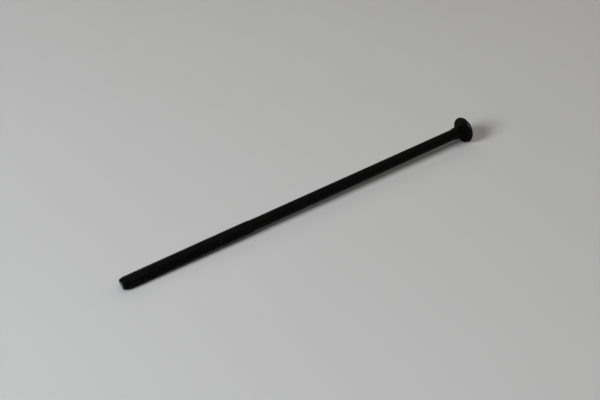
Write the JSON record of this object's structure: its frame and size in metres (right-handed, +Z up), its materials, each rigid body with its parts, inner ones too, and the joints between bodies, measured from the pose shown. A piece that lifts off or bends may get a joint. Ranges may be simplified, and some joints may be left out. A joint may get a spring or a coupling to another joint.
{
  "type": "carriage bolt",
  "caption": "Long round-head bolt with a square neck, a plain reduced shank and a threaded end, in black-finished steel; it passes through timber or plate and takes a nut.",
  "frame": {"origin": "on the surface that the bolt lies on, below the middle of its bounding box", "axes": "+X from the point to the head, level; +Z up; the bolt's own axis rises about 1.08 degrees towards the head, because the head's rim and the thread's first crest rest on the same surface"},
  "size_m": [0.2588, 0.0174, 0.0174],
  "materials": {
    "black_steel": "thin black conversion finish on rolled steel, satin"
  },
  "bodies": {
    "root": {"carriage_bolt": "black_steel"}
  },
  "joints": []
}
